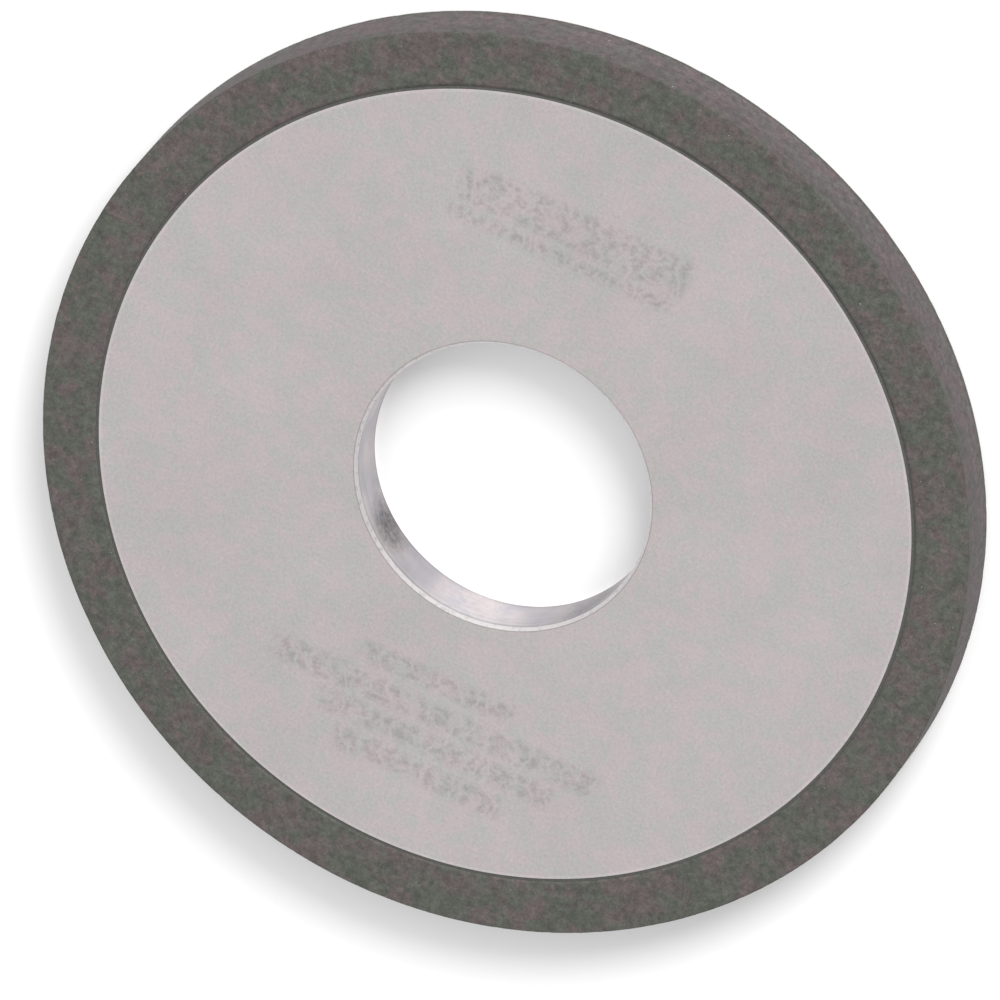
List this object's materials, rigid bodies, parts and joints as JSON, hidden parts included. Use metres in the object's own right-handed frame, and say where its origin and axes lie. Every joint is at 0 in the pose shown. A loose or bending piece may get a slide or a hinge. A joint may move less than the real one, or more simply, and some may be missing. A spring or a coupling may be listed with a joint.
{
  "type": "diamond grinding wheel",
  "caption": "Flat round straight grinding wheel: plain light metal core disc with a central arbor bore, cemented into a dark diamond abrasive rim of the same thickness.",
  "frame": {"origin": "centre of the bore in the plane of the back face, on which the wheel lies", "axes": "+Z along the wheel's axis, from the back face to the front face; X and Y lie in the back face"},
  "size_m": [0.1016, 0.1016, 0.0063],
  "materials": {
    "core": "satin",
    "cement": "matte",
    "abrasive_rim": "matte"
  },
  "bodies": {
    "root": {"core": "core", "cement_ring": "cement", "diamond_rim": "abrasive_rim"}
  },
  "joints": []
}
